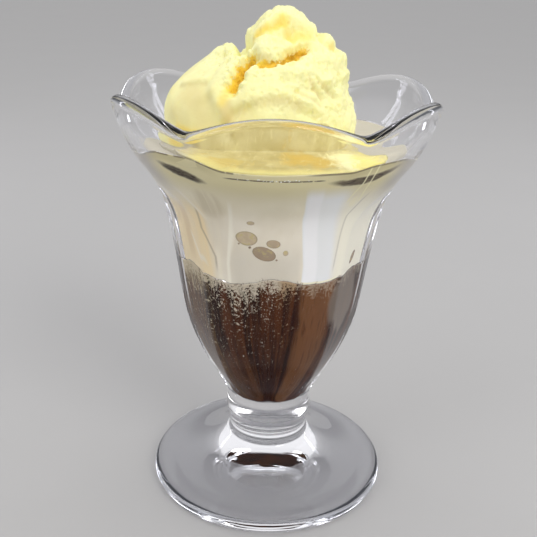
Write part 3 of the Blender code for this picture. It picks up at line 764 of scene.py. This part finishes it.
grooves = (  # fine lines on the right of the front, both dented and painted with shade
    ((12.3, -18, 14), (14, -18.6, 11.6), (16.3, -18.5, 8.7)),
    ((14.8, -17.2, 12.9), (17.6, -16.4, 10.7), (20.2, -14.9, 8.7)),
    ((8.9, -21.3, 10.9), (12.1, -20.6, 9.5), (15.5, -19.6, 7)))
scoopValues = {
    "centre": (-4, -1, 121), "radii": (27.6, 25, 26.5),
    "columns": 540, "rows": 150,
    "meltReach": 1.2, "meltFront": 276, "meltSpread": (34, 69), "meltRise": 0.3,
    "swellings": (  # direction, width in degrees, height: as in the solid
        ((0.72, -0.1, 0.69), 18, 2.4), ((0.2, -0.12, 1), 17, 5.4), ((0.54, -0.12, 0.84), 9, 1.9),
        ((-0.14, -0.1, 0.99), 9, -2.2), ((-0.62, -0.15, 0.78), 30, -6),
        ((-0.96, -0.15, 0.22), 22, 1.6), ((0.9, 0, 0.42), 17, -2.6),
        ((-0.1, -0.15, 0.98), 8, -1.3), ((0.5, -0.08, 0.86), 10, -1.6),
        ((-0.37, 0.3, 0.88), 9, -2.6)),
    "crevices": (  # depth, width, share of orange, middle line from the centre
        (4.4, 2.1, 1, (-7.2, -17.6, 10.2), (-5.8, -15.8, 12.4), (-4.2, -14, 14.4),
         (-3, -13.2, 15.4)), (1.8, 2, 0.95, (-4.8, -13.6, 14), (-2.8, -14, 15.4)),
        (13.2, 2.3, 0, (-4.5, -9, 17.4), (-4.7, 0, 16), (-6.5, 13, 14.6)),
        (2.4, 1.3, 0.8, (-3.2, -13.6, 15.6), (-0.6, -15.8, 15.6), (3.4, -16.1, 16.4),
         (6.2, -15.2, 17.4), (8.4, -13.2, 18.2), (10, -12, 19), (11.4, -11.4, 20.2))),
    "dents": (  # softer marks on the surface: height, width, path
        (-0.7, 4.2, (-15.5, -19.8, 6.6), (-14, -20.5, 3)),
        (0.5, 1.3, (-22.5, -7.6, 10.4), (-18.6, -11.6, 12), (-15.4, -14, 12.6)),
        (-0.6, 2.4, (-22.5, -7.8, 8.2), (-18.6, -12, 9.4), (-15.4, -14.6, 10.2)),
        (0.6, 1.6, (-13.2, -18.4, 10.4), (-12.2, -19.8, 7.9), (-9.9, -22.4, 5.4),
         (-7.9, -23.8, 2.5)),
        (0.45, 1.3, (-9.6, -21.9, 3.3), (-8.2, -22.6, 5.6), (-5.4, -23.4, 8.2),
         (0.1, -23.6, 10.6), (4.8, -22.8, 11), (8.4, -22.4, 10.4), (12.2, -21.6, 8.3),
         (15, -20.3, 6.6)), (-0.9, 2.2, (-8.6, -22.6, 1.6), (-7, -22.8, 4.6), (-4, -23.5, 6.4)),
        (-0.35, 2, (-4, -23.5, 6.4), (-1.4, -23.6, 7.4), (3.5, -23.2, 7.9), (9, -22.2, 6.6),
         (13.2, -21.1, 4.8)), (-0.9, 0.9, *grooves[0]), (-0.6, 0.8, *grooves[1]),
        (-0.8, 1, *grooves[2]), (-0.6, 0.9, (10.1, -22.6, 5.7), (14.2, -21.1, 3.6)),
        (-0.9, 1.5, (-1.8, -10.3, 23.9), (1.4, -10.6, 26), (5, -9.2, 27.3)),
        (-1.4, 2, (7.2, -10.4, 23.4), (10.6, -8.4, 23.2)),
        (0.9, 1.5, (-3, -14.6, 19.8), (0.4, -15.9, 19.9), (4.6, -15, 20.6), (8.6, -12.9, 21.6)),
        (-2.4, 1, (15, 1, 25.2), (15.2, -3, 24.4), (15.6, -7.4, 23.6)),
        (-0.9, 1.3, (19.3, -1, 18.9), (17.6, -6, 17.9)),
        (0.5, 0.7, (-4, -23.6, 8.4), (-5.4, -23.7, 5.5), (-7.6, -23.6, 1.6))),
    "paintedShadeMarks": (  # painted shade marks: width, strength, path
        (5.5, 0.6, (-20, -13, 8), (-16.7, -17.2, 6), (-15.5, -19, 2)),
        (4, 0.5, (-22, -12, 3), (-19, -16, 2)),
        (1.2, 0.5, (-22.5, -7.6, 9.3), (-18.6, -11.8, 10.6), (-15.3, -14.3, 11)),
        (2.6, 0.9, (-9.2, -21.8, 6.2), (-8.2, -22.4, 3.4)),
        (3, 0.45, (-6, -23.2, 5.4), (-5, -23.6, 1)),
        (0.7, 0.5, (-1.8, -14.6, 17), (1.4, -16, 17.2)), (0.6, 0.55, *grooves[0]),
        (0.5, 0.45, *grooves[1]), (0.6, 0.5, *grooves[2]),
        (1.7, 0.4, (-1, -23.6, 8.4), (5, -23, 8.6), (9, -22.2, 7.8))),
    "lemonMarks": (
        (1.6, 1, (-1.4, -10.5, 24.2), (1.6, -10.8, 26.2), (5.4, -9.2, 27.4)),
        (1.6, 0.85, (-21.5, -13, -1.5), (-20, -15.5, -1.6), (-16, -19, -2.2)),
        (1.2, 0.6, (17.2, -8, 20.6), (18.6, -6.6, 19.8)),
        (1, 0.5, (5, -14.6, 18.6), (9.6, -11.5, 20.4)),
        (2.4, 0.75, (6.6, -10.4, 23.6), (10.6, -8.6, 23.2)),
        (1.5, 0.7, (-9.8, -20, 7.2), (-8, -17.5, 9.6))),
    # noises: height, size, seed
    "crags": ((1.3, 8, 3), (0.9, 4, 5)), "ragged": ((1, 2, 11), (0.8, 0.95, 12)),
    "crumb": ((0.75, 3.1, 31), (0.45, 1.7, 32), (0.25, 0.9, 33)),
    "markWaves": ((0.7, 2.6, 51), (0.4, 1.1, 52)),
    "grainEdge": ((0.12, 5, 8),), "pits": (0.45, 1.9, 34), "nearWaves": ((0.5, 3, 41),),
    "edgeWaves": ((0.35, 4, 42),), "skirtWaves": ((0.25, 2.6, 43),),
    "smoothShare": 0.3, "cragLean": 0.45, "cragStart": (0.35, 0.75), "grainStart": (0.1, 0.55),
    "crumbHeight": 1.2, "noiseShift": 40,
    "scoopFoot": -0.13, "skirtRise": 0.35, "skirtReach": 0.06,
    "baseRadii": (3, 9, 15, 20), "drying": (115, 124),
    "meltTop": (118, 123.6), "meltTopSpread": (54, 28),
}


def unit(vectors):
    # each vector over its own length
    return vectors / np.linalg.norm(vectors, axis=-1, keepdims=True)


def angleTo(directions, point):
    # the arc cosine of two directions' dot product
    return np.arccos(np.clip(np.sum(directions * point, axis=-1), -1, 1))


def pathAngle(directions, path):
    # angle between each direction and the nearest point of a path of directions
    nearest, corners = math.pi, unit(path)
    for start, end in zip(corners[:-1], corners[1:]):
        line = end - start
        share = np.clip((directions - start) @ line / (line @ line), 0, 1)
        point = unit(start + share[..., None] * line)
        nearest = np.minimum(nearest, angleTo(directions, point))
    return nearest


def scoopReach(directions):
    # how far the ice cream reaches in each direction: an ellipsoid with round swellings, less
    # crevices with a bell-shaped section, plus torn relief where the scoop faces up and right;
    # also gives how deep in a crevice and how torn each point is
    v = scoopValues
    reach = 1 / np.linalg.norm(directions / np.array(v["radii"]), axis=-1)
    for centre, width, height in v["swellings"]:
        angle = angleTo(directions, unit(centre))
        reach = reach + height * np.exp(-(angle / math.radians(width)) ** 2)
    size = sum(v["radii"][:2]) / 2
    places = directions * size + v["noiseShift"]
    slope = directions[..., 2] + v["cragLean"] * directions[..., 0]
    torn = smoothStep(*v["cragStart"], slope)
    grain = smoothStep(*v["grainStart"], slope + layeredNoise(places, v["grainEdge"]))
    ragged = layeredNoise(places, v["ragged"])
    deep = np.zeros(directions.shape[:-1])
    for depth, width, orange, *path in v["crevices"]:
        gap = size * pathAngle(directions, path) + 0.6 * ragged
        cut = np.exp(-np.abs(gap / width) ** 2.6)
        reach = reach - depth * cut
        deep = np.maximum(deep, orange * cut)
    for height, width, *path in v["dents"]:
        gap = size * pathAngle(directions, path)
        reach = reach + height * np.exp(-(gap / width) ** 2)
    relief = layeredNoise(places, v["crags"])
    reach = reach + (v["smoothShare"] + (1 - v["smoothShare"]) * torn) * relief
    # torn crumb: folded noise in three sizes, and small round pits
    crumb = sum(height * np.abs(latticeNoise(places, width, seed))
                for height, width, seed in v["crumb"])
    reach = reach + (0.18 + 0.82 * torn) * grain * (crumb - 0.4) * v["crumbHeight"]
    height, width, seed = v["pits"]
    pits = smoothStep(0.42, 0.15, cellNoise(places, width, seed))
    return reach - height * grain * pits, deep, grain


def paintedMarks(directions, marks):
    # strength x a bell across each painted path, the strongest where they meet, wavy at the edge
    v = scoopValues
    size = sum(v["radii"][:2]) / 2
    wave = layeredNoise(directions * size + v["noiseShift"], v["markWaves"])
    total = np.zeros(directions.shape[:-1])
    for width, strength, *path in marks:
        gap = np.maximum(size * pathAngle(directions, path) + wave * min(width, 1.6) * 0.5, 0)
        total = np.maximum(total, strength * np.exp(-(gap / width) ** 2))
    return total


def iceCreamRings():
    # a shallow bowl on the milk, out to the edge of the melt, up its skirt and over the scoop
    v = scoopValues
    milk, count = fillValues["milkLevel"], v["columns"]
    around = np.arange(count) * 2 * math.pi / count
    centre = np.array(v["centre"])
    low = unit(turned(around, 1, v["scoopFoot"]))
    foot = centre + low * scoopReach(low)[0][:, None]
    footReach, footAngle = np.hypot(foot[:, 0], foot[:, 1]), np.arctan2(foot[:, 1], foot[:, 0])
    aside = np.abs(wrapped(np.degrees(footAngle) - v["meltFront"]))
    front = 1 - smoothStep(*v["meltSpread"], aside)

    def wallAt(height):
        return insideRadius(footAngle, height, -v["skirtReach"])

    # the melt ends close to the scoop behind and at the wall in front
    places = foot + v["noiseShift"]
    near = np.minimum(footReach + v["meltReach"] + layeredNoise(places, v["nearWaves"]),
                      wallAt(milk) - 1.2)
    edge = milk + v["meltRise"] + climb(footAngle) + front * layeredNoise(places, v["edgeWaves"])
    base = [turned(around, radius, dimpleHeight(radius) - 0.3) + (*fillValues["dimpleCentre"], 0)
            for radius in v["baseRadii"]]
    base += [turned(footAngle, near + (wallAt(height) - near) * front, height)
             for height in (milk - 0.6, milk, edge - 0.5, edge - 0.1)]
    # the skirt rises slowly from its edge and then turns up into the scoop
    share = rowsOf((0.04, 0.96, 26))
    reach = near + (wallAt(edge) - near) * front
    slow = v["skirtRise"]
    lift = np.where(share < 2 / 3, slow * 1.5 * share, slow + (1 - slow) * (3 * share - 2))
    lift = 0.5 * lift + 0.5 * share ** 2.2
    skirt = turned(footAngle, reach + (footReach - reach) * share,
                   edge + lift * (foot[:, 2] - edge))
    waves = layeredNoise(skirt + v["noiseShift"], v["skirtWaves"])
    skirt[..., 2] += waves * np.sin(math.pi * share)
    melted = np.concatenate((np.stack(base), skirt))
    zeros = np.zeros(melted.shape[:2])
    wet = np.concatenate((np.ones((len(base), 1)), 1 - share ** 2)) + zeros
    tilt = rowsOf((math.acos(v["scoopFoot"] / math.hypot(1, v["scoopFoot"])), 0.004, v["rows"]))
    upward = turned(around, np.sin(tilt), np.cos(tilt))
    reach, deep, grain = scoopReach(upward)
    scoop = centre + upward * reach[..., None]
    low, high = v["drying"]
    dryness = np.clip((scoop[..., 2] - low) / (high - low), 0, 1)
    # the scoop looks melted higher up in front, where the glass covers it
    bearing = np.degrees(np.arctan2(scoop[..., 0], -scoop[..., 1]))
    low, high = v["meltTop"]
    meltTop = low + (high - low) * smoothStep(*v["meltTopSpread"], np.abs(bearing - 1))
    fields = {"deep": (zeros, deep), "torn": (zeros, grain),
              "wet": (wet, 0.6 * (1 - dryness) ** 1.5),
              "beige": (zeros, paintedMarks(upward, v["paintedShadeMarks"])),
              "lemon": (zeros, paintedMarks(upward, v["lemonMarks"])),
              "melt": (zeros + 1, smoothStep(0.7, -0.7, scoop[..., 2] - meltTop))}
    return (np.concatenate((melted, scoop)),
            {name: [np.concatenate(parts)] for name, parts in fields.items()})


def iceCreamLook():
    # pale lemon vanilla with beige painted shade in its smooth hollows, under its lip and ledges and
    # along some grooves, richer yellow in grooves and orange in the crevices; the melted part is a
    # beige yellow with darker and paler pools and runs, among them painted shade and a painted
    # highlight
    look = Look("vanillaIceCream", {"Specular IOR Level": 0.3, "Subsurface Weight": 0.2,
                                    "Subsurface Radius": (0.8, 0.7, 0.35),
                                    "Subsurface Scale": 0.003})
    deep, torn, wet, melt = (look.field(name) for name in ("deep", "torn", "wet", "melt"))
    x, y, z = (look.axis(name) for name in "XYZ")
    patches, fine = look.noise(2.3, 4), look.noise(0.8)
    body = look.coats(
        look.mix(look.noise(7).step(0.38, 0.66), (0.88, 0.83, 0.39), (0.93, 0.9, 0.45)),
        (torn.step(0.1, 0.8) * 0.6, (0.96, 0.93, 0.47)),
        (patches.step(0.58, 0.74) * 0.3, (0.92, 0.82, 0.24)),
        # beige: painted shade in the hollows, under the lip and ledges and along the dented grooves
        (look.field("beige"), (0.73, 0.6, 0.26)),
        (look.field("lemon"), (0.9, 0.7, 0.15)))
    # the melted part: beige in the middle, its own colour and also painted shade, darker painted
    # shade low down and painted grey shade at the far left; orange pools and a painted pale highlight
    # to the right; runs from the scoop outwards and a bright yellow edge on the wall
    runs, pools = look.noise(1.7, 3, 0.3, 0.55, 0.8, 0.45), look.noise(4.5)
    east, south = x + (runs - 0.5) * 9, y + (pools - 0.5) * 14
    rim = x * x + y * y + (pools - 0.5) * 260
    # flat: the darker painted shade low down on the melt
    flat = look.mix(pools.step(0.38, 0.62), (0.47, 0.37, 0.12), (0.57, 0.455, 0.16))
    # pale: the painted highlight, turning yellow to its right
    pale = look.mix(east.step(18.5, 22.5), (1, 0.95, 0.5), (0.98, 0.84, 0.2))
    juice = look.coats(
        look.mix(pools.step(0.38, 0.64), (0.6, 0.51, 0.215), (0.68, 0.595, 0.275)),
        ((z + (pools - 0.5) * 4).step(119, 115.6) * 0.75, flat),
        (patch(east, south, (-15, -34), (8, 3.5), 0.8) * 0.7, (0.7, 0.53, 0.13)),
        (patch(east, south, (8.5, -30.5), (6.5, 5.2), 0.85) * 0.95, (0.64, 0.43, 0.07)),
        (runs.step(0.56, 0.68) * 0.45, (0.8, 0.72, 0.36)),
        (rim.step(1330, 1560) * 0.7, (0.8, 0.7, 0.24)),
        (patch(east, south, (21, -26.5), (7, 8.6), 0.85) * 0.9, pale),
        # painted grey shade at the far left
        (x.step(-19, -25) * 0.8, (0.5, 0.47, 0.4)))
    orange = look.coats(
        look.mix(patches.step(0.42, 0.6), (0.62, 0.36, 0.02), (0.86, 0.57, 0.06)),
        (x.step(-2.6, -4.2) * fine.step(0.33, 0.54), (0.97, 0.72, 0.1)))
    look.feed("Base Color", look.coats(
        body, (melt.step(0.25, 0.75) * 0.95, juice),
        ((deep + (fine - 0.5) * 0.9).step(0.3, 0.62), orange)))
    look.feed("Roughness", 0.55 - 0.3 * wet)
    look.bump(look.noise(0.9, 4) * (0.25 + torn), 0.35, 0.6)
    return look.material


rings, fields = iceCreamRings()
addPiece("iceCreamScoop", [rings], iceCreamLook(), "ice_cream", "ice_cream", fields=fields)


cameraValues = {
    "target": (-1.1, 0, 72.41), "distance": 257.7, "elevation": 22.46, "roll": -1.47,
    "lens": 54.82, "sensor": 36, "nearest": 0.01,  # clip start in metres
}


def addCamera():
    v = cameraValues
    data = bpy.data.cameras.new("camera")
    data.lens, data.sensor_width, data.clip_start = v["lens"], v["sensor"], v["nearest"]
    camera = addObject("camera", data)
    turn = (Matrix.Rotation(math.radians(90 - v["elevation"]), 4, "X")
            @ Matrix.Rotation(math.radians(-v["roll"]), 4, "Z"))
    spot = Vector(v["target"]) + turn @ Vector((0, 0, v["distance"]))
    camera.matrix_world = Matrix.Translation(spot * mm) @ turn
    bpy.context.scene.camera = camera


floorValues = {"radii": (4000, 1000, 200, 1), "columns": 96, "height": -0.05,
               "colour": (0.43, 0.425, 0.42), "roughness": 0.8}


def addFloor():
    v = floorValues
    rings = turned(columnAngles(v["columns"]), np.array([v["radii"]]).T, v["height"])
    mesh = ringMesh("paleFloor", [rings], closeEnds=False)
    look = Look("paleFloor", {"Roughness": v["roughness"], "Specular IOR Level": 0.2})
    darker = tuple(0.97 * c for c in v["colour"])
    look.feed("Base Color", look.mix(look.noise(60), darker, v["colour"]))
    mesh.materials.append(look.material)
    floor = addObject("paleFloor", mesh)


lightValues = (  # name, place, height aimed at, width and height, in metres; watts, colour
    ("keyBox", (0.5, -0.65, 0.7), 0.09, (0.45, 0.45), 4, (1, 0.985, 0.96)),
    ("fillBox", (-0.8, -0.55, 0.55), 0.08, (0.5, 0.5), 1.7, (0.98, 0.98, 1)),
    ("sideBoxLeft", (-0.55, 0.3, 0.22), 0.08, (0.05, 0.42), 0.42, (0.92, 0.92, 1)),
    ("sideBoxRight", (0.55, 0.3, 0.22), 0.08, (0.05, 0.42), 0.42, (0.92, 0.92, 1)),
    ("topBox", (0.05, 0.15, 0.95), 0.1, (0.3, 0.22), 0.5, (1, 1, 1)),
)
worldStops = ((0, 0.16), (0.06, 0.17), (0.42, 1), (0.8, 0.9))  # height, brightness


def addLights():
    for name, spot, aim, size, watts, colour in lightValues:
        data = bpy.data.lights.new(name, "AREA")
        data.shape = "RECTANGLE"
        data.size, data.size_y = size
        data.energy, data.color = watts, colour
        lamp = addObject(name, data)
        lamp.location = spot
        lamp.rotation_mode = "QUATERNION"
        lamp.rotation_quaternion = (Vector((0, 0, aim)) - Vector(spot)).to_track_quat("-Z", "Y")
    # the surroundings brighten from a dim horizon to a soft white dome overhead
    world = bpy.data.worlds.new("softStudio")
    world.use_nodes = True
    sky = Nodes(world.node_tree)
    direction = sky.node("TexCoord", output="Generated")
    height = sky.node("SeparateXYZ", {0: direction}, "Z")
    stops = [(place, (bright, bright, 1.02 * bright)) for place, bright in worldStops]
    dome = sky.node("ValToRGB", {0: height}, stops=stops)
    sky.plug(sky.tree.nodes["Background"].inputs["Color"], dome)
    bpy.context.scene.world = world
    bpy.context.scene.view_settings.view_transform = "Standard"


addCamera()
addFloor()
addLights()
print("camera, floor and light set")
